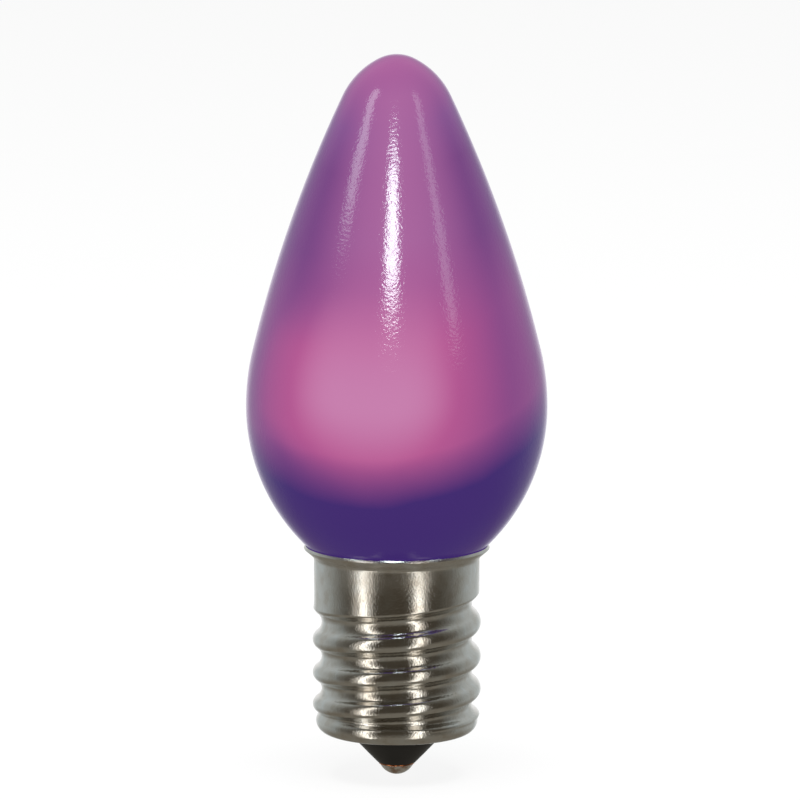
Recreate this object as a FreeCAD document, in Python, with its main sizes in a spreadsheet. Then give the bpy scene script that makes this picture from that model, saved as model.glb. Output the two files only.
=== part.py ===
import FreeCAD, Part
import Sketcher
import math
import os

# A C7 size decoration lamp with an E12 candelabra screw base, in millimetres.
# The axis is Z. The solder tip of the base touches Z = 0 and the bulb points up.

doc = FreeCAD.newDocument("lamp")
V = FreeCAD.Vector
UP = V(0, 0, 1)

# Driving sizes. Each is one cell, and everything below is worked out from them.
SIZES = [
    ("overallLength", 51.24, "solder tip to the tip of the bulb"),
    # moulded envelope
    ("bellyDiameter", 21.2, "widest place of the envelope"),
    ("bellyAboveRim", 10.1, "height of the widest place over the flared rim"),
    ("tipRadius", 2.77, "roundness of the very tip"),
    ("tipCapDiameter", 2.48, "where the tip arc meets the shoulder arc"),
    ("shoulderRadius", 5.58, "arc under the tip"),
    ("flankRadius", 93.5, "long shallow arc of the flank"),
    ("bellyRadius", 17.0, "arc over the widest place"),
    ("neckLength", 1.85, "envelope neck inside the collar"),
    ("neckChamfer", 0.3, "lead-in at the end of the neck"),
    ("seatGap", 0.03, "cement line between the envelope and the shell"),
    # pressed screw shell
    ("sheet", 0.22, "thickness of the plated brass sheet"),
    ("collarDiameter", 11.68, "plain collar over the thread"),
    ("rimDiameter", 13.1, "lip of the flare"),
    ("flareHeight", 0.66, "height of the flare"),
    ("shellHeight", 12.58, "bottom of the shell to the foot of the flare"),
    ("crestDiameter", 11.89, "E12 thread over its crests"),
    ("threadDepth", 0.635, "E12 thread from crest to root"),
    ("threadPitch", 2.54, "E12 pitch, ten turns to the inch"),
    ("lastPitch", 2.1, "pitch of the last turn, which is pressed closer"),
    ("firstCrest", 7.91, "first crest on the right, over the shell's bottom"),
    ("collarLength", 1.78, "foot of the flare to where the thread may start"),
    ("grooveStart", 0.4, "share of a turn over which the first groove deepens"),
    ("runIn", 0.5, "height over which it fades under the collar"),
    ("runOut", 0.7, "height over which the last groove fades at the bottom"),
    ("swellTop", 9.5, "where the wall starts to widen to the crests, over the shell's bottom"),
    ("swell", 1.2, "height over which it widens"),
    ("endDiameter", 11.44, "shell where it starts to curl in"),
    ("curlRadius", 0.85, "rounded bottom edge, outside"),
    ("mouthDiameter", 6.7, "hole in the bottom, filled by the insulator"),
    # insulator and contact
    ("coneHeight", 2.22, "insulator cone under the shell"),
    ("coneEndDiameter", 2.6, "flat end of the cone"),
    ("flangeDiameter", 9.4, "insulator flange inside the shell"),
    ("flangeHeight", 1.0, "thickness of that flange"),
    ("insulatorGap", 0.03, "play of the insulator in the mouth"),
    ("eyeletDiameter", 2.54, "head of the contact eyelet"),
    ("eyeletThickness", 0.12, "sheet of the eyelet"),
    ("eyeletTube", 1.1, "outside of the eyelet's tube"),
    ("eyeletGap", 0.03, "play of the tube in the insulator's bore"),
    ("clinchDiameter", 1.9, "turned-over end of the tube"),
    ("solderDiameter", 2.4, "solder dome"),
    ("solderHeight", 0.76, "height of the dome"),
    ("solderPlug", 1.2, "solder drawn up into the tube"),
    ("solderGap", 0.02, "gap between the plug and the tube"),
]

# Places that follow from the sizes.
PLACES = [
    ("eyeletBottom", "sizes.solderHeight"),
    ("coneEnd", "eyeletBottom + sizes.eyeletThickness"),
    ("coneEndR", "sizes.coneEndDiameter / 2"),
    ("shellBottom", "coneEnd + sizes.coneHeight"),
    ("floorTop", "shellBottom + sizes.sheet"),
    ("mouthR", "sizes.mouthDiameter / 2"),
    ("plugR", "mouthR - sizes.insulatorGap"),
    ("flangeR", "sizes.flangeDiameter / 2"),
    ("flangeTop", "floorTop + sizes.flangeHeight"),
    ("tubeR", "sizes.eyeletTube / 2"),
    ("tubeBoreR", "tubeR - sizes.eyeletThickness"),
    ("boreR", "tubeR + sizes.eyeletGap"),
    ("headR", "sizes.eyeletDiameter / 2"),
    ("clinchR", "sizes.clinchDiameter / 2"),
    ("clinchTop", "flangeTop + sizes.eyeletThickness"),
    ("solderR", "sizes.solderDiameter / 2"),
    ("domeRadius", "(solderR ^ 2 + eyeletBottom ^ 2) / (2 * eyeletBottom)"),
    ("plugTop", "eyeletBottom + sizes.solderPlug"),
    ("solderPlugR", "tubeBoreR - sizes.solderGap"),
    ("endR", "sizes.endDiameter / 2"),
    ("endInnerR", "endR - sizes.sheet"),
    ("curlR", "endR - sizes.curlRadius"),
    ("threadBottom", "shellBottom + sizes.curlRadius"),
    ("collarR", "sizes.collarDiameter / 2"),
    ("collarInnerR", "collarR - sizes.sheet"),
    ("collarTop", "shellBottom + sizes.shellHeight"),
    ("threadTop", "collarTop - sizes.collarLength"),
    ("rimR", "sizes.rimDiameter / 2"),
    ("rimTop", "collarTop + sizes.flareHeight"),
    # the flare is sheet, so its inside and the envelope's seat are set off square to it
    ("flareReach", "rimR - collarR"),
    ("flareLength", "sqrt(flareReach ^ 2 + sizes.flareHeight ^ 2)"),
    ("lipR", "rimR - sizes.sheet * sizes.flareHeight / flareLength"),
    ("lipTop", "rimTop + sizes.sheet * flareReach / flareLength"),
    ("bendTop", "collarTop + sizes.sheet * (flareLength - sizes.flareHeight) / flareReach"),
    ("seatOffset", "sizes.sheet + sizes.seatGap"),
    ("seatR", "rimR - seatOffset * sizes.flareHeight / flareLength"),
    ("seatTop", "rimTop + seatOffset * flareReach / flareLength"),
    ("neckR", "collarR - seatOffset"),
    ("neckTop", "collarTop + seatOffset * (flareLength - sizes.flareHeight) / flareReach"),
    ("neckEnd", "neckTop - sizes.neckLength"),
    ("neckEndR", "neckR - sizes.neckChamfer"),
    ("neckLeadIn", "neckEnd + sizes.neckChamfer"),
    ("bellyR", "sizes.bellyDiameter / 2"),
    ("belly", "rimTop + sizes.bellyAboveRim"),
    ("bellyCentreR", "sizes.bellyRadius - bellyR"),
    ("tipCentre", "sizes.overallLength - sizes.tipRadius"),
    ("tipCapR", "sizes.tipCapDiameter / 2"),
    ("capSlope", "sqrt(1 - (tipCapR / sizes.tipRadius) ^ 2)"),
    ("capFoot", "tipCentre + capSlope * sizes.tipRadius"),
    ("shoulderCentreR", "tipCapR * (1 - sizes.shoulderRadius / sizes.tipRadius)"),
    ("shoulderCentre", "tipCentre + capSlope * (sizes.tipRadius - sizes.shoulderRadius)"),
    # the flank touches the shoulder and the belly from outside, so its centre lies across the
    # line between their centres
    ("apartR", "shoulderCentreR + bellyCentreR"),
    ("apartZ", "shoulderCentre - belly"),
    ("apart", "sqrt(apartR ^ 2 + apartZ ^ 2)"),
    ("toShoulder", "sizes.flankRadius - sizes.shoulderRadius"),
    ("toBelly", "sizes.flankRadius - sizes.bellyRadius"),
    ("alongApart", "(toShoulder ^ 2 - toBelly ^ 2 + apart ^ 2) / (2 * apart)"),
    ("asideApart", "sqrt(toShoulder ^ 2 - alongApart ^ 2)"),
    ("flankCentreR", "shoulderCentreR - (apartR * alongApart + apartZ * asideApart) / apart"),
    ("flankCentre", "shoulderCentre - (apartZ * alongApart - apartR * asideApart) / apart"),
    ("flankTopR", "flankCentreR + (shoulderCentreR - flankCentreR) * sizes.flankRadius / toShoulder"),
    ("flankTop", "flankCentre + (shoulderCentre - flankCentre) * sizes.flankRadius / toShoulder"),
    ("flankFootR", "flankCentreR - (bellyCentreR + flankCentreR) * sizes.flankRadius / toBelly"),
    ("flankFoot", "flankCentre + (belly - flankCentre) * sizes.flankRadius / toBelly"),
    ("flankSplit", "(flankTop + flankFoot) / 2"),
    ("underRadius", "((bellyR - seatR) ^ 2 + (belly - seatTop) ^ 2) / (2 * (bellyR - seatR))"),
    ("underCentreR", "bellyR - underRadius"),
    ("underSplit", "(belly + seatTop) / 2"),
]

WALL_SECTIONS = 32    # sections of the rolled wall around the axis
POINTS_A_TURN = 8     # points of each section along one turn of thread

sizes = doc.addObject("Spreadsheet::Sheet", "sizes")
for row, (name, value, note) in enumerate(SIZES, 1):
    sizes.set(f"A{row}", name)
    sizes.set(f"B{row}", str(value))
    sizes.set(f"C{row}", note)
    sizes.setAlias(f"B{row}", name)
doc.recompute()

places = doc.addObject("Spreadsheet::Sheet", "places")
for row, (name, formula) in enumerate(PLACES, 1):
    places.set(f"A{row}", name)
    places.setAlias(f"B{row}", name)
    places.set(f"B{row}", "=" + formula)
doc.recompute()

DRIVEN = {name for name, value, note in SIZES}


def cell(name):
    return f"sizes.{name}" if name in DRIVEN else f"places.{name}"


def size(name):
    return float(getattr(sizes if name in DRIVEN else places, name))


def newSketch(label):
    """A body with one sketch on its XZ plane, for a turned piece."""
    body = doc.addObject("PartDesign::Body", label)
    body.Label = label
    plane = [f for f in body.Origin.OriginFeatures if f.Role == "XZ_Plane"][0]
    sketch = body.newObject("Sketcher::SketchObject", label + "_outline")
    sketch.AttachmentSupport = [(plane, "")]
    sketch.MapMode = "FlatFace"
    return body, sketch


def turn(body, sketch):
    """Turns the sketch round the axis."""
    turned = body.newObject("PartDesign::Revolution", body.Name + "_turned")
    turned.Profile = sketch
    turned.ReferenceAxis = (sketch, ["V_Axis"])
    turned.Angle = 360
    body.Tip = turned
    sketch.Visibility = False
    return body


def hold(sketch, kind, *where, name=None):
    """Adds a constraint, and ties it to a cell when it is named."""
    if name is None:
        return sketch.addConstraint(Sketcher.Constraint(kind, *where))
    made = sketch.addConstraint(Sketcher.Constraint(kind, *where, size(name)))
    sketch.setExpression(f"Constraints[{made}]", cell(name))
    return made


def place(sketch, edge, end, across, up):
    """Holds one end of an edge at named distances from the origin; None means on the axis."""
    if across is None:
        hold(sketch, "PointOnObject", edge, end, -2)
    else:
        hold(sketch, "DistanceX", -1, 1, edge, end, name=across)
    if up is None:
        hold(sketch, "PointOnObject", edge, end, -1)
    else:
        hold(sketch, "DistanceY", -1, 1, edge, end, name=up)


def at(across, up):
    return V(size(across) if across else 0, size(up) if up else 0, 0)


def arcBetween(start, end, centre):
    """The shorter arc from start to end round a centre, and whether it runs against the clock."""
    circle = Part.Circle(centre, UP, start.distanceToPoint(centre))
    first = math.atan2(start.y - centre.y, start.x - centre.x)
    last = math.atan2(end.y - centre.y, end.x - centre.x)
    forward = (last - first) % (2 * math.pi) < math.pi
    if forward:
        return Part.ArcOfCircle(circle, first, last), True
    return Part.ArcOfCircle(circle, last, first), False


def centreOf(start, end, radius, side):
    """The centre of the arc with that radius; side is 1 when it lies left of start to end."""
    chord = end - start
    middle = (start + end) * 0.5
    left = V(-chord.y, chord.x, 0).normalize()
    return middle + left * (side * math.sqrt(radius ** 2 - (chord.Length / 2) ** 2))


def drawOutline(sketch, corners, bends=None):
    """A closed outline through named corners. bends gives an arc's radius and side by its first corner."""
    bends = bends or {}
    count = len(corners)
    points = [at(*corner) for corner in corners]
    joints = []
    for i, start in enumerate(points):
        end = points[(i + 1) % count]
        if i in bends:
            radius, side = bends[i]
            arc, forward = arcBetween(start, end, centreOf(start, end, size(radius), side))
            edge = sketch.addGeometry(arc, False)
            hold(sketch, "Radius", edge, name=radius)
            joints.append((edge, 1, 2) if forward else (edge, 2, 1))
        else:
            joints.append((sketch.addGeometry(Part.LineSegment(start, end), False), 1, 2))
    for i, (edge, first, last) in enumerate(joints):
        after, afterFirst, _ = joints[(i + 1) % count]
        hold(sketch, "Coincident", edge, last, after, afterFirst)
        place(sketch, edge, first, *corners[i])


def onArc(centre, radius, up):
    """The outer point of an arc at a height."""
    return V(centre.x + math.sqrt(radius ** 2 - (up - centre.y) ** 2), up, 0)


def makeEnvelope():
    """The sealed bulb: arcs that run into each other, over a seat and a neck in the shell."""
    body, sketch = newSketch("envelope")
    tip = at(None, "overallLength")
    tipCentre = at(None, "tipCentre")
    cap = at("tipCapR", "capFoot")
    shoulderCentre = at("shoulderCentreR", "shoulderCentre")
    flankCentre = at("flankCentreR", "flankCentre")
    shoulderEnd = at("flankTopR", "flankTop")
    flankEnd = at("flankFootR", "flankFoot")
    bellyCentre = V(-size("bellyCentreR"), size("belly"), 0)
    widest = at("bellyR", "belly")
    underCentre = at("underCentreR", "belly")
    seat = at("seatR", "seatTop")
    # the two long arcs are drawn in halves, so that a mesh of them stays light
    flankSplit = onArc(flankCentre, size("flankRadius"), size("flankSplit"))
    underSplit = onArc(underCentre, size("underRadius"), size("underSplit"))
    run = [
        (tip, cap, tipCentre),
        (cap, shoulderEnd, shoulderCentre),
        (shoulderEnd, flankSplit, flankCentre),
        (flankSplit, flankEnd, flankCentre),
        (flankEnd, widest, bellyCentre),
        (widest, underSplit, underCentre),
        (underSplit, seat, underCentre),
    ]
    arcs = [sketch.addGeometry(arcBetween(*ends)[0], False) for ends in run]
    tipArc, shoulder, upperFlank, lowerFlank, overBelly, upperUnder, underBelly = arcs
    # every arc runs against the clock from its lower end, so end 2 is the upper one
    for upper, lower in zip(arcs, arcs[1:]):
        hold(sketch, "Tangent", upper, 1, lower, 2)
    hold(sketch, "Radius", tipArc, name="tipRadius")
    hold(sketch, "Radius", shoulder, name="shoulderRadius")
    hold(sketch, "Radius", upperFlank, name="flankRadius")
    hold(sketch, "Radius", lowerFlank, name="flankRadius")
    hold(sketch, "DistanceY", -1, 1, upperFlank, 1, name="flankSplit")
    hold(sketch, "Radius", overBelly, name="bellyRadius")
    hold(sketch, "PointOnObject", tipArc, 3, -2)
    place(sketch, tipArc, 2, None, "overallLength")
    hold(sketch, "DistanceX", -1, 1, tipArc, 1, name="tipCapR")
    place(sketch, overBelly, 1, "bellyR", "belly")
    hold(sketch, "DistanceY", -1, 1, overBelly, 3, name="belly")
    hold(sketch, "Equal", upperUnder, underBelly)
    hold(sketch, "DistanceY", -1, 1, upperUnder, 1, name="underSplit")
    place(sketch, underBelly, 1, "seatR", "seatTop")
    corners = [
        ("seatR", "seatTop"),
        ("neckR", "neckTop"),
        ("neckR", "neckLeadIn"),
        ("neckEndR", "neckEnd"),
        (None, "neckEnd"),
    ]
    ends = [at(*corner) for corner in corners] + [tip]
    lines = [sketch.addGeometry(Part.LineSegment(a, b), False) for a, b in zip(ends, ends[1:])]
    hold(sketch, "Coincident", underBelly, 1, lines[0], 1)
    for before, after, corner in zip(lines, lines[1:], corners[1:]):
        hold(sketch, "Coincident", before, 2, after, 1)
        place(sketch, after, 1, *corner)
    hold(sketch, "Coincident", lines[-1], 2, tipArc, 2)
    return turn(body, sketch)


def threadPhase(up):
    """Turns of thread between the first crest on the right and this height, counted downwards."""
    below = size("shellBottom") + size("firstCrest") - up
    first, last = 1 / size("threadPitch"), 1 / size("lastPitch")
    return below * first + below ** 2 * (last - first) / (2 * size("firstCrest"))


def knuckle(turns, inset):
    """Radius of the rolled thread where a crest is at whole turns, set off inwards by inset."""
    crest, depth, pitch = size("crestDiameter") / 2, size("threadDepth"), size("threadPitch")
    # crest and root are equal arcs that touch halfway down the flank
    arc = ((pitch / 2) ** 2 + depth ** 2) / (4 * depth)
    along = abs(turns - round(turns)) * pitch
    if along < (arc - inset) * pitch / (4 * arc):
        return crest - arc + math.sqrt((arc - inset) ** 2 - along ** 2)
    return crest - depth + arc - math.sqrt((arc + inset) ** 2 - (pitch / 2 - along) ** 2)


def ease(share):
    share = min(max(share, 0), 1)
    return share * share * (3 - 2 * share)


def wallRadius(angle, up, inset):
    """Radius of the rolled wall at an angle and a height, inset from its outer face."""
    runIn = ease((size("threadTop") - up) / size("runIn"))
    runOut = ease((up - size("threadBottom")) / size("runOut"))
    swell = ease((size("shellBottom") + size("swellTop") - up) / size("swell"))
    crest = size("crestDiameter") / 2
    plain = crest - (1 - swell) * (crest - size("collarR")) - (1 - runOut) * (crest - size("endR"))
    turns = threadPhase(up) + angle / (2 * math.pi)
    # above the first whole turn there is only the start of the groove, which fades in behind
    start = 1
    if turns < 0:
        start = 1 - ease(angle / (2 * math.pi * size("grooveStart")))
    if turns < -1:
        start = 0
    groove = max(0, plain - inset - knuckle(turns, inset))
    return plain - inset - start * runIn * runOut * groove


def wallSection(angle):
    """The wall's section at one angle: the outer wave, the inner wave and the two cut ends."""
    low, high = size("threadBottom"), size("threadTop")
    steps = round((high - low) / size("threadPitch") * POINTS_A_TURN)
    around = V(math.cos(angle), math.sin(angle), 0)
    waves = []
    for inset in (0, size("sheet")):
        heights = [low + (high - low) * i / steps for i in range(steps + 1)]
        waves.append([around * wallRadius(angle, up, inset) + UP * up for up in heights])
    outer, inner = waves
    return Part.makePolygon(outer + inner[::-1] + outer[:1])


def makeRolledWall():
    """The threaded wall. Its thread fades into the collar and the curl, which a helix sweep can't do."""
    angles = [2 * math.pi * i / WALL_SECTIONS for i in range(WALL_SECTIONS)]
    sections = [wallSection(angle) for angle in angles]
    wall = doc.addObject("Part::Feature", "rolled_wall")
    wall.Shape = Part.makeLoft(sections + sections[:1], True, True)
    wall.Placement = FreeCAD.Placement()
    return wall


def makeScrewShell():
    """Flare and collar, rolled thread and curled bottom of the one-piece screw shell."""
    collar, sketch = newSketch("collar")
    drawOutline(sketch, [
        ("collarR", "threadTop"),
        ("collarR", "collarTop"),
        ("rimR", "rimTop"),
        ("lipR", "lipTop"),
        ("collarInnerR", "bendTop"),
        ("collarInnerR", "threadTop"),
    ])
    turn(collar, sketch)
    curl, sketch = newSketch("curl")
    drawOutline(sketch, [
        ("endR", "threadBottom"),
        ("endInnerR", "threadBottom"),
        ("curlR", "floorTop"),
        ("mouthR", "floorTop"),
        ("mouthR", "shellBottom"),
        ("curlR", "shellBottom"),
    ], {5: ("curlRadius", 1)})
    turn(curl, sketch)
    shell = doc.addObject("Part::MultiFuse", "screw_shell")
    shell.Shapes = [collar, makeRolledWall(), curl]
    shell.Label = "screw_shell"
    return shell


def makeInsulator():
    """Black cone moulded into the shell's mouth, with the bore for the eyelet."""
    body, sketch = newSketch("insulator")
    drawOutline(sketch, [
        ("boreR", "coneEnd"),
        ("coneEndR", "coneEnd"),
        ("plugR", "shellBottom"),
        ("plugR", "floorTop"),
        ("flangeR", "floorTop"),
        ("flangeR", "flangeTop"),
        ("boreR", "flangeTop"),
    ])
    return turn(body, sketch)


def makeEyelet():
    """Brass eyelet riveted through the insulator: head below, turned-over end inside."""
    body, sketch = newSketch("contact_eyelet")
    drawOutline(sketch, [
        ("tubeBoreR", "eyeletBottom"),
        ("headR", "eyeletBottom"),
        ("headR", "coneEnd"),
        ("tubeR", "coneEnd"),
        ("tubeR", "flangeTop"),
        ("clinchR", "flangeTop"),
        ("clinchR", "clinchTop"),
        ("tubeBoreR", "clinchTop"),
    ])
    return turn(body, sketch)


def makeSolderTip():
    """Solder dome on the eyelet, with the solder that was drawn up into its tube."""
    body, sketch = newSketch("solder_tip")
    drawOutline(sketch, [
        (None, None),
        ("solderR", "eyeletBottom"),
        ("solderPlugR", "eyeletBottom"),
        ("solderPlugR", "plugTop"),
        (None, "plugTop"),
    ], {0: ("domeRadius", 1)})
    return turn(body, sketch)


parts = [makeEnvelope(), makeScrewShell(), makeInsulator(), makeEyelet(), makeSolderTip()]
doc.recompute()

for item in doc.Objects:
    if "Invalid" in item.State or "Error" in item.State:
        raise RuntimeError(f"{item.Name} failed: {item.State}")

os.makedirs("parts", exist_ok=True)
for part in parts:
    shape = part.Shape
    if shape.isNull() or not shape.isValid() or len(shape.Solids) != 1:
        raise RuntimeError(f"{part.Label} isn't one valid solid")
    shape.exportStep(f"parts/{part.Label}.step")
    print(part.Label, "volume", round(shape.Volume, 2), "mm3")
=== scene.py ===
import math
import bpy
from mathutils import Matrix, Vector


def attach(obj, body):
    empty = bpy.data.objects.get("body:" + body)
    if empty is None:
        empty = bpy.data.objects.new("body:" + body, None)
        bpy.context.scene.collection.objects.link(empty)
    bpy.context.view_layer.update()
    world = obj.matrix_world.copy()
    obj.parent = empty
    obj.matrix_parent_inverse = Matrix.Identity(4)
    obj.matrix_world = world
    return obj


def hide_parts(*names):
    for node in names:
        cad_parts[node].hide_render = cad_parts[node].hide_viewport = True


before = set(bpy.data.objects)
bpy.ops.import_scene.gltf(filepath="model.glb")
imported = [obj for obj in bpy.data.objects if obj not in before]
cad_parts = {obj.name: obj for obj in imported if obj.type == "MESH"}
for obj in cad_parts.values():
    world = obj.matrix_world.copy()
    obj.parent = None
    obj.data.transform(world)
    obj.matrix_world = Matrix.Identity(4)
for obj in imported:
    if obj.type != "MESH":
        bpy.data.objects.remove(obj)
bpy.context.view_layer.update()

# sizes in the settings are in mm, and the scene is in metres
mm = 0.001
print("lamp loaded")


# modelling helpers

def startDisc(name, radius, height, columns, fill="NGON"):
    # a circle at its size and place, all of it selected and in edit mode
    bpy.ops.object.select_all(action="DESELECT")
    bpy.ops.mesh.primitive_circle_add(
        vertices=columns, radius=radius * mm, fill_type=fill, location=(0, 0, height * mm))
    piece = bpy.context.object
    piece.name = name
    bpy.ops.object.mode_set(mode="EDIT")
    bpy.ops.mesh.select_all(action="SELECT")
    return piece


def riseThrough(rings):
    # extrudes the selected disc or edge from ring to ring, each given as radius and height
    for (radius, height), (nextRadius, nextHeight) in zip(rings, rings[1:]):
        move = {"value": (0, 0, (nextHeight - height) * mm)}
        bpy.ops.mesh.extrude_region_move(TRANSFORM_OT_translate=move)
        if nextRadius != radius:
            ratio = nextRadius / radius
            bpy.ops.transform.resize(
                value=(ratio, ratio, 1), center_override=(0, 0, nextHeight * mm))


def closeLoop():
    # joins the two open edges of a tube
    bpy.ops.mesh.select_mode(type="EDGE")
    bpy.ops.mesh.select_all(action="DESELECT")
    bpy.ops.mesh.select_non_manifold()
    bpy.ops.mesh.bridge_edge_loops()


def finishPiece(piece, node, material, sharp):
    # merges doubles, shades edges over the sharp angle as creases, and hands the piece to the frame
    bpy.ops.mesh.select_mode(type="VERT")
    bpy.ops.mesh.select_all(action="SELECT")
    bpy.ops.mesh.remove_doubles(threshold=0.0005 * mm)
    bpy.ops.mesh.normals_make_consistent(inside=False)
    bpy.ops.object.mode_set(mode="OBJECT")
    bpy.ops.object.transform_apply(location=True, rotation=True, scale=True)
    bpy.ops.object.shade_smooth_by_angle(angle=math.radians(sharp))
    piece.data.materials.clear()
    piece.data.materials.append(material)
    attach(piece, "root")
    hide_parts(node)
    print(piece.name, "made")


def arcRings(centre, radius, first, last, steps):
    # rings along an arc; angles in degrees, 0 outwards and 90 up
    rings = []
    for i in range(steps + 1):
        angle = math.radians(first + (last - first) * i / steps)
        rings.append((centre[0] + radius * math.cos(angle), centre[1] + radius * math.sin(angle)))
    return rings


# material helpers

def tint(red, green, blue):
    # a colour as a paint program shows it, 0 to 255
    def linear(value):
        value = value / 255
        return value / 12.92 if value < 0.04045 else ((value + 0.055) / 1.055) ** 2.4
    return (linear(red), linear(green), linear(blue), 1)


def newMaterial(name):
    material = bpy.data.materials.new(name)
    material.use_nodes = True
    return material, material.node_tree, material.node_tree.nodes["Principled BSDF"]


def setRamp(ramp, stops, interpolation):
    ramp.interpolation = interpolation
    while len(ramp.elements) > 1:
        ramp.elements.remove(ramp.elements[-1])
    ramp.elements[0].position = stops[0][0]
    ramp.elements[0].color = tint(*stops[0][1])
    for position, color in stops[1:]:
        ramp.elements.new(position).color = tint(*color)


def rampColor(tree, factor, stops, interpolation="EASE"):
    # a colour by a factor, from stops of position and tint
    ramp = tree.nodes.new("ShaderNodeValToRGB")
    setRamp(ramp.color_ramp, stops, interpolation)
    tree.links.new(factor, ramp.inputs["Fac"])
    return ramp.outputs["Color"]


def newGroup(name, inputs, outputs):
    group = bpy.data.node_groups.new(name, "ShaderNodeTree")
    for label, kind, value in inputs:
        socket = group.interface.new_socket(label, in_out="INPUT", socket_type=kind)
        if value is not None:
            socket.default_value = value
    for label, kind in outputs:
        group.interface.new_socket(label, in_out="OUTPUT", socket_type=kind)
    return group, group.nodes.new("NodeGroupInput"), group.nodes.new("NodeGroupOutput")


def useGroup(tree, group, values):
    node = tree.nodes.new("ShaderNodeGroup")
    node.node_tree = group
    for label, value in values.items():
        node.inputs[label].default_value = value
    return node


def mathNode(tree, operation, *values):
    # a math node fed with numbers or sockets
    node = tree.nodes.new("ShaderNodeMath")
    node.operation = operation
    for socket, value in zip(node.inputs, values):
        if isinstance(value, (int, float)):
            socket.default_value = value
        else:
            tree.links.new(value, socket)
    return node.outputs[0]


def span(tree, value, first, last, low=0.0, high=1.0, kind="SMOOTHSTEP"):
    # goes from low, where the value is first, to high, where it is last
    node = tree.nodes.new("ShaderNodeMapRange")
    node.interpolation_type = kind
    node.inputs["From Min"].default_value = first
    node.inputs["From Max"].default_value = last
    node.inputs["To Min"].default_value = low
    node.inputs["To Max"].default_value = high
    tree.links.new(value, node.inputs["Value"])
    return node.outputs["Result"]


def mixColors(tree, factor, first, second):
    # the second is a socket or the red, green and blue of a tint
    mix = tree.nodes.new("ShaderNodeMix")
    mix.data_type = "RGBA"
    tree.links.new(factor, mix.inputs["Factor"])
    tree.links.new(first, mix.inputs[6])
    if isinstance(second, tuple):
        mix.inputs[7].default_value = tint(*second)
    else:
        tree.links.new(second, mix.inputs[7])
    return mix.outputs[2]


def addBump(tree, surface, height, strength, distance):
    # the distance is in mm
    bump = tree.nodes.new("ShaderNodeBump")
    bump.inputs["Strength"].default_value = strength
    bump.inputs["Distance"].default_value = distance * mm
    tree.links.new(height, bump.inputs["Height"])
    tree.links.new(bump.outputs["Normal"], surface.inputs["Normal"])


def makeSkin():
    # uneven skin of a surface: fine grain over wide soft waves, as a height and a mask
    group, given, result = newGroup(
        "unevenSkin",
        [("Vector", "NodeSocketVector", None), ("Grain size", "NodeSocketFloat", 2000.0),
         ("Wave size", "NodeSocketFloat", 300.0), ("Grain", "NodeSocketFloat", 0.5)],
        [("Height", "NodeSocketFloat"), ("Mask", "NodeSocketFloat")])
    grain = group.nodes.new("ShaderNodeTexNoise")
    grain.inputs["Detail"].default_value = 2
    wave = group.nodes.new("ShaderNodeTexNoise")
    wave.inputs["Detail"].default_value = 3
    group.links.new(given.outputs["Vector"], grain.inputs["Vector"])
    group.links.new(given.outputs["Vector"], wave.inputs["Vector"])
    group.links.new(given.outputs["Grain size"], grain.inputs["Scale"])
    group.links.new(given.outputs["Wave size"], wave.inputs["Scale"])
    fine = mathNode(group, "MULTIPLY", grain.outputs["Fac"], given.outputs["Grain"])
    group.links.new(mathNode(group, "ADD", fine, wave.outputs["Fac"]), result.inputs["Height"])
    group.links.new(wave.outputs["Fac"], result.inputs["Mask"])
    return group


skin = makeSkin()


def addSkin(tree, place, grain, wave, share):
    # grain and wave say how fine each is; share is the grain's part of the height
    node = useGroup(tree, skin, {"Grain size": grain, "Wave size": wave, "Grain": share})
    tree.links.new(place, node.inputs["Vector"])
    return node


# the bulb: a moulded envelope, with the light from inside painted on it as a glow

bulb = {
    "columns": 160,
    "tip": 51.24,
    # from the tip down to the belly: radius, last angle from the axis, steps
    "arcs": [(2.77, 26.58, 10), (5.58, 64.69, 16), (93.3, 76.38, 20), (17.0, 90.0, 8)],
    # one more arc goes from the belly down to the seat on the lip
    "seat": (6.38, 16.523),
    "seatSteps": 22,
    "neckRadius": 5.59,
    "neckTop": 15.789,
    "neckEnd": 13.939,
    "chamfer": 0.3,
    "sharp": 30,
}


def bulbRings():
    # each arc goes on from the one before; the rings are then turned round, to be built from below
    rings = []
    radius, height, angle = 0, bulb["tip"], 0
    for bend, last, steps in bulb["arcs"]:
        start = math.radians(angle)
        for i in range(1, steps + 1):
            turn = start + (math.radians(last) - start) * i / steps
            rings.append((radius + bend * (math.sin(turn) - math.sin(start)),
                          height + bend * (math.cos(turn) - math.cos(start))))
        radius, height = rings[-1]
        angle = last
    seatRadius, seatHeight = bulb["seat"]
    fall, inwards = height - seatHeight, radius - seatRadius
    under = (fall ** 2 + inwards ** 2) / (2 * inwards)
    last = -math.degrees(math.asin(fall / under))
    rings += arcRings((radius - under, height), under, 0, last, bulb["seatSteps"])[1:]
    neck = bulb["neckRadius"]
    rings += [(neck, bulb["neckTop"]), (neck, bulb["neckEnd"] + bulb["chamfer"]),
              (neck - bulb["chamfer"], bulb["neckEnd"])]
    return rings[::-1]


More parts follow.
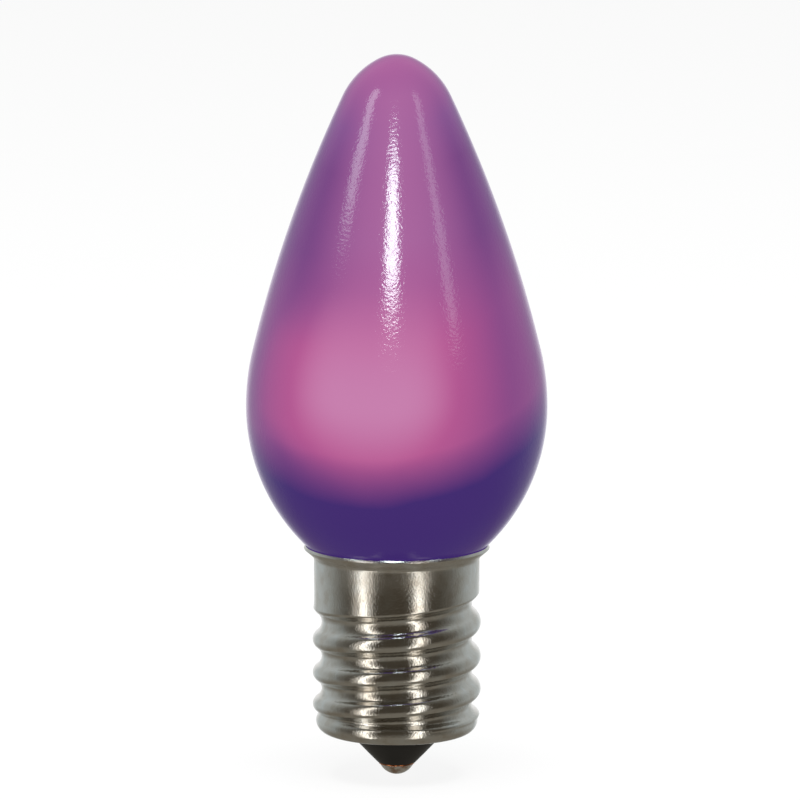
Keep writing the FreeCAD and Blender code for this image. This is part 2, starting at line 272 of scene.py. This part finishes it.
glow = {
    # painted glow of the lit bulb, in zones: an indigo foot, painted shadow of the hidden inner parts, the
    # rosy belly with its pale heart, a duller waist and the tip
    "foot": (56, 36, 107),
    "rose": (186, 89, 143),
    "heart": (200, 128, 171),
    "waist": (175, 97, 150),
    "tip": (174, 105, 156),
    "end": (169, 95, 149),
    "violet": (113, 61, 123),
    "sideRose": (134, 69, 130),
    "sideTip": (129, 78, 137),
    # heights of the zones in front and on the sides, within the whole range; the side's zones are the same
    # glow with painted shade
    "range": (18, 52),
    "front": [(20.8, "foot"), (24.3, "rose"), (31.5, "rose"), (35.8, "waist"), (39.0, "tip"),
              (49.0, "tip"), (50.9, "end")],
    "side": [(20.8, "foot"), (24.2, "sideRose"), (32.0, "sideRose"), (37.5, "violet"),
             (43.5, "violet"), (46.5, "sideTip"), (50.6, "end")],
    # how far the zones' edges wander, and the skin they wander by: grain, wave, share of grain
    "drift": 1.6,
    "cloud": (160.0, 110.0, 0.3),
    # the foot's edge rises towards the sides, and more so on the right, per mm and mm squared
    "slope": 0.118,
    "bow": 0.030,
    # where the front gives way to the painted shade of the side, as a share of facing away
    "turn": (-0.10, 0.42),
    # the belly's lit zone is wider and lies to the left: from, fully, fully until, until
    "belly": (22.0, 26.0, 30.0, 36.0),
    "bellyWider": 0.12,
    "bellyLeft": 18.0,
    # the heart, a painted bright spot of the glow: height of its middle, reach down and up, and sideways as
    # a share of facing away
    "heartAt": (28.1, 5.4, 9.5, 0.18),
    # painted shade: towards the outline, where the wall is seen along its length, the glow is darker
    "outline": (66, 36, 96),
    "outlineTurn": (0.45, 1.0),
    "outlineShare": 0.75,
    "strength": 0.95,
    # the unlit surface: colour, gloss, and its own skin with the bump's strength and distance
    "base": (52, 28, 62),
    "roughness": 0.11,
    "refraction": 1.34,
    "skin": (4800.0, 700.0, 0.8),
    "ripple": (0.75, 0.02),
}


def zoneColors(tree, value, stops):
    # the glow's colour by height, from stops of height and zone
    low, high = glow["range"]
    share = mathNode(tree, "DIVIDE", mathNode(tree, "SUBTRACT", value, low * mm), (high - low) * mm)
    stops = [((height - low) / (high - low), glow[zone]) for height, zone in stops]
    return rampColor(tree, share, stops, "LINEAR")


def makeBulbMaterial():
    material, tree, surface = newMaterial("litBulb")
    place = tree.nodes.new("ShaderNodeTexCoord").outputs["Object"]
    split = tree.nodes.new("ShaderNodeSeparateXYZ")
    tree.links.new(place, split.inputs[0])
    across = split.outputs["X"]
    weight = tree.nodes.new("ShaderNodeLayerWeight")
    weight.inputs["Blend"].default_value = 0.5
    facing = weight.outputs["Facing"]
    # the height, bent and uneven as the edges of the lit zones are
    cloud = addSkin(tree, place, *glow["cloud"])
    askew = mathNode(tree, "MULTIPLY", across, -glow["slope"])
    bowed = mathNode(tree, "MULTIPLY", mathNode(tree, "POWER", across, 2.0), -glow["bow"] / mm)
    drift = mathNode(tree, "SUBTRACT", cloud.outputs["Mask"], 0.5)
    drift = mathNode(tree, "MULTIPLY", drift, glow["drift"] * mm)
    level = mathNode(tree, "ADD", split.outputs["Z"], drift)
    bent = mathNode(tree, "ADD", level, mathNode(tree, "ADD", askew, bowed))
    # the front's zones give way to the side's painted shade, later where the belly is lit
    low, full, fullEnd, end = [height * mm for height in glow["belly"]]
    belly = mathNode(tree, "SUBTRACT", span(tree, bent, low, full), span(tree, bent, fullEnd, end))
    lean = mathNode(tree, "MULTIPLY", across, glow["bellyLeft"])
    shift = mathNode(tree, "SUBTRACT", lean, glow["bellyWider"])
    away = mathNode(tree, "ADD", facing, mathNode(tree, "MULTIPLY", belly, shift))
    front = zoneColors(tree, bent, glow["front"])
    side = zoneColors(tree, bent, glow["side"])
    shade = mixColors(tree, span(tree, away, *glow["turn"]), front, side)
    # the pale heart of painted light, by the distance from its middle
    middle, down, up, sideways = glow["heartAt"]
    rise = mathNode(tree, "SUBTRACT", bent, middle * mm)
    above = mathNode(tree, "DIVIDE", mathNode(tree, "MAXIMUM", rise, 0.0), up * mm)
    below = mathNode(tree, "DIVIDE", mathNode(tree, "MINIMUM", rise, 0.0), down * mm)
    aside = mathNode(tree, "MAXIMUM", mathNode(tree, "ADD", facing, lean), 0.0)
    aside = mathNode(tree, "DIVIDE", aside, sideways)
    far = mathNode(tree, "ADD", mathNode(tree, "POWER", above, 2.0), mathNode(tree, "POWER", below, 2.0))
    far = mathNode(tree, "SQRT", mathNode(tree, "ADD", far, mathNode(tree, "POWER", aside, 2.0)))
    shade = mixColors(tree, span(tree, far, 1.0, 0.0), shade, glow["heart"])
    # painted shade, darker towards the outline
    outline = span(tree, facing, *glow["outlineTurn"])
    outline = mathNode(tree, "MULTIPLY", outline, glow["outlineShare"])
    shade = mixColors(tree, outline, shade, glow["outline"])
    # the painted glow, with its painted shade and painted bright heart, goes into the emission
    tree.links.new(shade, surface.inputs["Emission Color"])
    surface.inputs["Emission Strength"].default_value = glow["strength"]
    surface.inputs["Base Color"].default_value = tint(*glow["base"])
    surface.inputs["Roughness"].default_value = glow["roughness"]
    surface.inputs["IOR"].default_value = glow["refraction"]
    # the moulded skin breaks up the mirrored panels
    ripple = addSkin(tree, place, *glow["skin"])
    addBump(tree, surface, ripple.outputs["Height"], *glow["ripple"])
    return material


def makeBulb():
    rings = bulbRings()
    piece = startDisc("moulded_bulb", *rings[0], bulb["columns"])
    riseThrough(rings)
    # the last little disc becomes the tip
    bpy.ops.mesh.extrude_region_move(
        TRANSFORM_OT_translate={"value": (0, 0, (bulb["tip"] - rings[-1][1]) * mm)})
    bpy.ops.mesh.merge(type="CENTER")
    finishPiece(piece, "envelope", makeBulbMaterial(), bulb["sharp"])


makeBulb()


# the screw shell: one pressed sheet with a flared lip, a collar and the rolled thread

shell = {
    "columns": 192,
    "rows": 150,
    # radius of the collar, outside and inside
    "collar": 5.84,
    "inside": 5.62,
    # from the inner wall over the lip and down to the collar, as radius and height
    "lip": [(5.62, 15.3), (5.62, 15.79), (6.40, 16.50), (6.44, 16.512), (6.525, 16.395), (6.55, 16.34),
            (6.535, 16.295), (6.0, 15.83), (5.91, 15.72), (5.855, 15.62), (5.84, 15.52), (5.84, 15.4),
            (5.84, 15.2), (5.84, 14.7)],
    # the thread: heights, radii of crest and root, pitch above and below, height of the first crest
    "threadTop": 13.90,
    "threadBottom": 3.95,
    "crest": 5.945,
    "root": 5.31,
    "pitch": 2.54,
    "lastPitch": 2.1,
    "firstCrest": 11.01,
    # the first groove fades in over this share of a turn, and the thread over these heights
    "grooveStart": 0.4,
    "runIn": 0.5,
    "runOut": 0.7,
    # below this height the wall swells from the collar's radius to the crest's, over the second one
    "swellTop": 12.6,
    "swell": 1.2,
    # the curled bottom: radius of the wall above it, of the curl, and its lowest height
    "end": 5.72,
    "curl": 0.85,
    "curlSteps": 10,
    "bottom": 3.10,
    # from the curled bottom through the mouth and up the inner wall
    "inner": [(3.40, 3.10), (3.35, 3.15), (3.35, 3.32), (4.87, 3.32), (5.04, 4.3), (5.04, 13.1),
              (5.62, 13.38)],
    "sharp": 40,
}

plating = {
    # tones by the skin's mask, then the skin (grain, wave, share of grain) and the bump
    "tones": [(0.3, (200, 195, 187)), (0.5, (209, 207, 202)), (0.7, (214, 215, 213))],
    "skin": (7500.0, 900.0, 0.9),
    "bump": (0.6, 0.02),
    # the rolled thread is bright, and from one height to the other the collar turns satin
    "heights": (12.8, 15.4),
    "roughness": (0.12, 0.26),
}


def ease(share):
    share = min(max(share, 0), 1)
    return share * share * (3 - 2 * share)


def threadRadius(angle, height):
    # the wall's radius: crests and roots are equal arcs, and the groove fades out at both ends
    angle = angle % (2 * math.pi)
    crest, root, pitch = shell["crest"], shell["root"], shell["pitch"]
    below = shell["firstCrest"] - height
    length = shell["firstCrest"] - shell["bottom"]
    gather = (1 / shell["lastPitch"] - 1 / pitch) / (2 * length)
    turns = below / pitch + below ** 2 * gather + angle / (2 * math.pi)
    depth = crest - root
    bend = ((pitch / 2) ** 2 + depth ** 2) / (4 * depth)
    along = abs(turns - round(turns)) * pitch
    if along < pitch / 4:
        wave = crest - bend + math.sqrt(bend ** 2 - along ** 2)
    else:
        wave = root + bend - math.sqrt(bend ** 2 - (pitch / 2 - along) ** 2)
    runIn = ease((shell["threadTop"] - height) / shell["runIn"])
    runOut = ease((height - shell["threadBottom"]) / shell["runOut"])
    swell = ease((shell["swellTop"] - height) / shell["swell"])
    plain = crest - (1 - swell) * (crest - shell["collar"]) - (1 - runOut) * (crest - shell["end"])
    # above the first whole turn there is only the start of the groove, which fades in behind
    start = 1
    if turns < 0:
        start = 1 - ease(angle / (2 * math.pi * shell["grooveStart"]))
    if turns < -1:
        start = 0
    return plain - start * runIn * runOut * max(0, plain - wave)


def rollThread(piece):
    # a rolled thread that fades at both ends has no modelling tool, so its wall is pushed in ring by ring
    slack = 0.01
    low, high = (shell["threadBottom"] - slack) * mm, (shell["threadTop"] + slack) * mm
    outer = (shell["inside"] + shell["collar"]) / 2 * mm
    for vertex in piece.data.vertices:
        place = vertex.co
        reach = math.hypot(place.x, place.y)
        if low < place.z < high and reach > outer:
            ratio = threadRadius(math.atan2(place.y, place.x), place.z / mm) * mm / reach
            place.x *= ratio
            place.y *= ratio


def makeShellMaterial():
    material, tree, surface = newMaterial("nickelSheet")
    place = tree.nodes.new("ShaderNodeTexCoord").outputs["Object"]
    sheet = addSkin(tree, place, *plating["skin"])
    tone = rampColor(tree, sheet.outputs["Mask"], plating["tones"])
    tree.links.new(tone, surface.inputs["Base Color"])
    split = tree.nodes.new("ShaderNodeSeparateXYZ")
    tree.links.new(place, split.inputs[0])
    first, last = plating["heights"]
    satin = span(tree, split.outputs["Z"], first * mm, last * mm, *plating["roughness"])
    tree.links.new(satin, surface.inputs["Roughness"])
    surface.inputs["Metallic"].default_value = 1.0
    addBump(tree, surface, sheet.outputs["Height"], *plating["bump"])
    return material


def makeShell():
    collar, top, low = shell["collar"], shell["threadTop"], shell["threadBottom"]
    rows = shell["rows"]
    end, curl, bottom = shell["end"], shell["curl"], shell["bottom"]
    rings = shell["lip"] + [(collar, top)]
    rings += [(collar, top + (low - top) * i / rows) for i in range(1, rows + 1)]
    rings += arcRings((end - curl, bottom + curl), curl, 0, -90, shell["curlSteps"])[1:]
    rings += shell["inner"]
    piece = startDisc("rolled_screw_shell", *rings[0], shell["columns"], "NOTHING")
    riseThrough(rings)
    closeLoop()
    bpy.ops.object.mode_set(mode="OBJECT")
    bpy.ops.object.transform_apply(location=True, rotation=True, scale=True)
    rollThread(piece)
    bpy.ops.object.mode_set(mode="EDIT")
    finishPiece(piece, "screw_shell", makeShellMaterial(), shell["sharp"])


makeShell()


# the insulator and the contact

foot = {
    "columns": 96,
    # rings of the insulator and the eyelet, as radius and height
    "cone": [(1.30, 0.88), (1.36, 0.90), (1.42, 0.96), (2.0, 1.56), (2.7, 2.30), (3.24, 2.88),
             (3.31, 3.02), (3.32, 3.10), (3.32, 3.32), (4.70, 3.32), (4.70, 4.32), (0.58, 4.32)],
    "eyelet": [(0.9, 0.76), (1.20, 0.76), (1.262, 0.785), (1.27, 0.82), (1.262, 0.86), (1.20, 0.88)],
    # the solder: radius and height of its upper edge
    "dome": 1.2,
    "domeHeight": 0.76,
    "domeSteps": 18,
    "sharp": 40,
    "domeSharp": 50,
    # the looks: tones by the mask, skin, bump and roughness
    "black": [(0.35, (9, 9, 10)), (0.65, (19, 18, 20))],
    "blackSkin": (4500.0, 700.0, 0.7),
    "blackBump": (0.35, 0.02),
    "blackRoughness": 0.42,
    "metalBump": 0.08,
    "copper": {"dark": (120, 62, 34), "light": (186, 118, 78), "roughness": 0.28, "unevenness": 0.4,
               "patches": 1500.0},
    "tin": {"dark": (176, 150, 132), "light": (234, 232, 230), "roughness": 0.13, "unevenness": 1.0,
            "patches": 1900.0},
}


def makeInsulatorMaterial():
    material, tree, surface = newMaterial("blackInsulator")
    place = tree.nodes.new("ShaderNodeTexCoord").outputs["Object"]
    moulding = addSkin(tree, place, *foot["blackSkin"])
    tone = rampColor(tree, moulding.outputs["Mask"], foot["black"])
    tree.links.new(tone, surface.inputs["Base Color"])
    surface.inputs["Roughness"].default_value = foot["blackRoughness"]
    addBump(tree, surface, moulding.outputs["Height"], *foot["blackBump"])
    return material


def makeMetalMaterial(name, dark, light, roughness, unevenness, patches):
    # metal with patches between a dark and a light tone, and a grain three times as fine
    material, tree, surface = newMaterial(name)
    place = tree.nodes.new("ShaderNodeTexCoord").outputs["Object"]
    uneven = addSkin(tree, place, patches * 3, patches, 0.5)
    tone = rampColor(tree, uneven.outputs["Mask"], [(0.38, dark), (0.62, light)])
    tree.links.new(tone, surface.inputs["Base Color"])
    surface.inputs["Metallic"].default_value = 1.0
    surface.inputs["Roughness"].default_value = roughness
    addBump(tree, surface, uneven.outputs["Height"], unevenness, foot["metalBump"])
    return material


def makeFoot():
    columns = foot["columns"]
    cone = startDisc("insulator_cone", *foot["cone"][0], columns)
    riseThrough(foot["cone"])
    finishPiece(cone, "insulator", makeInsulatorMaterial(), foot["sharp"])
    rim = startDisc("contact_rim", *foot["eyelet"][0], columns)
    riseThrough(foot["eyelet"])
    copper = makeMetalMaterial("copperyEyelet", **foot["copper"])
    finishPiece(rim, "contact_eyelet", copper, foot["sharp"])
    # the dome is a part of a ball that touches the foot of the lamp
    edge, high = foot["dome"], foot["domeHeight"]
    ball = (edge ** 2 + high ** 2) / (2 * high)
    opening = math.degrees(math.asin((ball - high) / ball))
    rings = arcRings((0, ball), ball, -89, -opening, foot["domeSteps"])
    dome = startDisc("solder_dome", *rings[0], columns)
    riseThrough(rings)
    tin = makeMetalMaterial("brightSolder", **foot["tin"])
    finishPiece(dome, "solder_tip", tin, foot["domeSharp"])


makeFoot()


# floor, light and camera

studio = {
    # the camera: height it is turned to, degrees down, distance, focal length, film width, shift, near end
    "aim": 25.75,
    "down": 9.2,
    "away": 450,
    "lens": 288,
    "film": 36,
    "shift": (0.0041, 0.019),
    "near": 10,
    # the floor: its width, its tone, and how much of it the camera sees as plain white
    "floorSize": 6000,
    "floorTone": (235, 235, 235),
    "floorRoughness": 0.8,
    "floorWhite": 0.9,
    # colour of the room from the camera's side to the far side, by the direction's own share of +Y
    "room": [(0.0, (74, 68, 58)), (0.1, (70, 64, 55)), (0.28, (76, 71, 62)), (0.45, (112, 110, 104)),
             (0.62, (160, 163, 160)), (0.82, (192, 197, 197)), (1.0, (200, 206, 206))],
    # where plating begins to mirror the white backdrop, and where it does so fully
    "backdrop": (0.93, 1.0),
    # tone of a table far below, and the direction's share of +Z where it begins and is full
    "table": (126, 121, 111),
    "tableFrom": (-0.2, -0.6),
    "panels": {
        # turn from the camera, height, distance, width, length (mm), power (W), what it lights
        "centre": (-5, 33.2, 400, 72, 100, 1.0, "bulb"),
        "left": (-63, 42, 400, 84, 190, 0.40, "bulb"),
        "right": (51, 36, 400, 56, 240, 0.18, "bulb"),
        "baseLeft": (-47, 0, 300, 50, 700, 0.20, "metal"),
        "baseLeftWide": (-48, 0, 310, 170, 700, 0.17, "metal"),
        "baseRight": (31, 0, 300, 42, 700, 0.17, "metal"),
        "baseRightWide": (32, 0, 310, 120, 700, 0.12, "metal"),
        "contactLow": (-12, -25, 300, 70, 60, 0.11, "contact"),
        "top": (0, 80, 500, 400, 400, 5.2, "floor"),
    },
    # cool light on the bulb, warm light on the metal
    "lightColors": {"bulb": (0.84, 1.0, 0.98), "metal": (1.0, 0.95, 0.87), "contact": (1.0, 0.95, 0.87),
                    "floor": (1, 1, 1)},
}


def makeFloor():
    bpy.ops.object.select_all(action="DESELECT")
    bpy.ops.mesh.primitive_plane_add(size=studio["floorSize"] * mm, location=(0, 0, 0))
    floor = bpy.context.object
    floor.name = "studio_floor"
    # it only catches the shadow: the plating mirrors the room and the panels, as it would high over a table
    floor.visible_diffuse = False
    floor.visible_glossy = False
    floor.visible_shadow = False
    material, tree, surface = newMaterial("paleFloor")
    surface.inputs["Base Color"].default_value = tint(*studio["floorTone"])
    surface.inputs["Roughness"].default_value = studio["floorRoughness"]
    # the camera sees it white, with the soft shadow
    white = tree.nodes.new("ShaderNodeEmission")
    white.inputs["Color"].default_value = (1, 1, 1, 1)
    path = tree.nodes.new("ShaderNodeLightPath")
    mostly = mathNode(tree, "MULTIPLY", path.outputs["Is Camera Ray"], studio["floorWhite"])
    blend = tree.nodes.new("ShaderNodeMixShader")
    tree.links.new(mostly, blend.inputs[0])
    tree.links.new(surface.outputs[0], blend.inputs[1])
    tree.links.new(white.outputs[0], blend.inputs[2])
    tree.links.new(blend.outputs[0], tree.nodes["Material Output"].inputs["Surface"])
    floor.data.materials.append(material)


def makeWorld():
    world = bpy.data.worlds.new("softStudio")
    bpy.context.scene.world = world
    world.use_nodes = True
    tree = world.node_tree
    soft = tree.nodes["Background"]
    way = tree.nodes.new("ShaderNodeTexCoord").outputs["Generated"]
    split = tree.nodes.new("ShaderNodeSeparateXYZ")
    tree.links.new(way, split.inputs[0])
    # the room's tone by the direction, darker behind the camera and paler behind the lamp
    half = mathNode(tree, "MULTIPLY_ADD", split.outputs["Y"], 0.5, 0.5)
    room = rampColor(tree, half, studio["room"], "LINEAR")
    low = span(tree, split.outputs["Z"], *studio["tableFrom"], kind="LINEAR")
    tree.links.new(mixColors(tree, low, room, studio["table"]), soft.inputs["Color"])
    # plain white for the camera and through glass; plating mirrors it where it faces the far side
    white = tree.nodes.new("ShaderNodeBackground")
    white.inputs["Color"].default_value = (1, 1, 1, 1)
    path = tree.nodes.new("ShaderNodeLightPath")
    behind = span(tree, half, *studio["backdrop"], kind="LINEAR")
    mirrored = mathNode(tree, "MULTIPLY", path.outputs["Is Glossy Ray"], behind)
    seen = mathNode(tree, "ADD", path.outputs["Is Camera Ray"], path.outputs["Is Transmission Ray"])
    blend = tree.nodes.new("ShaderNodeMixShader")
    tree.links.new(mathNode(tree, "ADD", seen, mirrored), blend.inputs[0])
    tree.links.new(soft.outputs[0], blend.inputs[1])
    tree.links.new(white.outputs[0], blend.inputs[2])
    tree.links.new(blend.outputs[0], tree.nodes["World Output"].inputs["Surface"])


def makePanels():
    # the bulb, the metal and the floor have their own soft panels
    lit = {
        "bulb": ["moulded_bulb"],
        "metal": ["rolled_screw_shell", "insulator_cone", "contact_rim", "solder_dome"],
        "contact": ["contact_rim", "solder_dome"],
        "floor": ["studio_floor"],
    }
    groups = {}
    for name, members in lit.items():
        groups[name] = bpy.data.collections.new(name + "_light")
        for member in members:
            groups[name].objects.link(bpy.data.objects[member])
    aim = Vector((0, 0, studio["aim"] * mm))
    for name, (turn, up, away, width, length, power, target) in studio["panels"].items():
        light = bpy.data.lights.new(name, "AREA")
        light.shape = "RECTANGLE"
        light.size = width * mm
        light.size_y = length * mm
        light.energy = power
        light.color = studio["lightColors"][target]
        panel = bpy.data.objects.new(name + "_panel", light)
        bpy.context.collection.objects.link(panel)
        azimuth, height = math.radians(turn), math.radians(up)
        level = math.cos(height)
        way = Vector((math.sin(azimuth) * level, -math.cos(azimuth) * level, math.sin(height)))
        panel.location = aim + way * away * mm
        panel.rotation_euler = way.to_track_quat("Z", "Y").to_euler()
        panel.light_linking.receiver_collection = groups[target]


def makeCamera():
    camera = bpy.data.objects.new("camera", bpy.data.cameras.new("camera"))
    bpy.context.collection.objects.link(camera)
    down = math.radians(studio["down"])
    away = studio["away"] * mm
    camera.location = (0, -away * math.cos(down), studio["aim"] * mm + away * math.sin(down))
    camera.rotation_euler = (math.pi / 2 - down, 0, 0)
    camera.data.lens = studio["lens"]
    camera.data.sensor_width = studio["film"]
    camera.data.shift_x, camera.data.shift_y = studio["shift"]
    camera.data.clip_start = studio["near"] * mm
    bpy.context.scene.camera = camera


makeFloor()
makeWorld()
makePanels()
makeCamera()
bpy.context.scene.view_settings.view_transform = "Standard"
print("studio ready")
